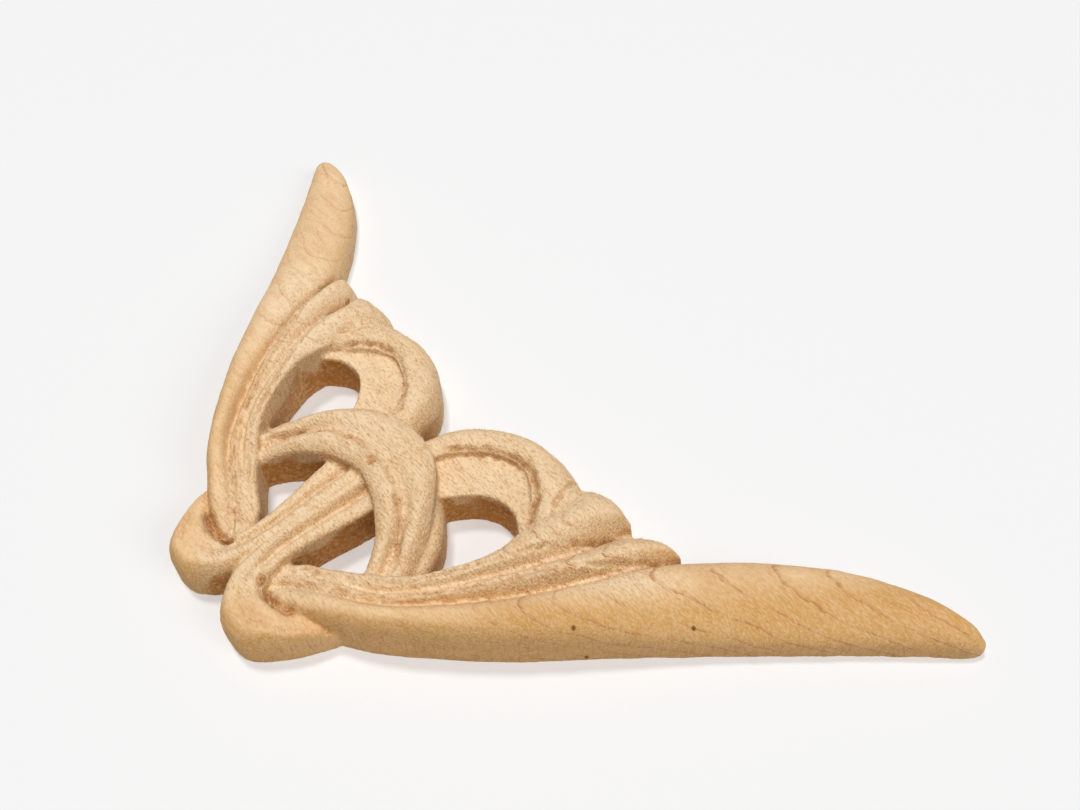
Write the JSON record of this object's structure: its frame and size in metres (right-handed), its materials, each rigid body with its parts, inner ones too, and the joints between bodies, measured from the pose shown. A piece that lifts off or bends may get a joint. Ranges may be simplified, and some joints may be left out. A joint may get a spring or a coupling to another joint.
{
  "type": "corner wood applique",
  "caption": "Carved beech corner applique: feathered blades on two legs, with an interlaced ribbon and raised arch at the corner.",
  "frame": {"origin": "middle of the outline's bounding box, on the flat back", "axes": "+Z out of the carved face; one leg runs along +X and the other along +Y, with the outer corner at low X and low Y"},
  "size_m": [0.1212, 0.1212, 0.011],
  "materials": {
    "beech": "unfinished, fine sanded on the open faces and rough from the tool in the grooves"
  },
  "bodies": {
    "root": {"corner_applique": "beech"}
  },
  "joints": []
}
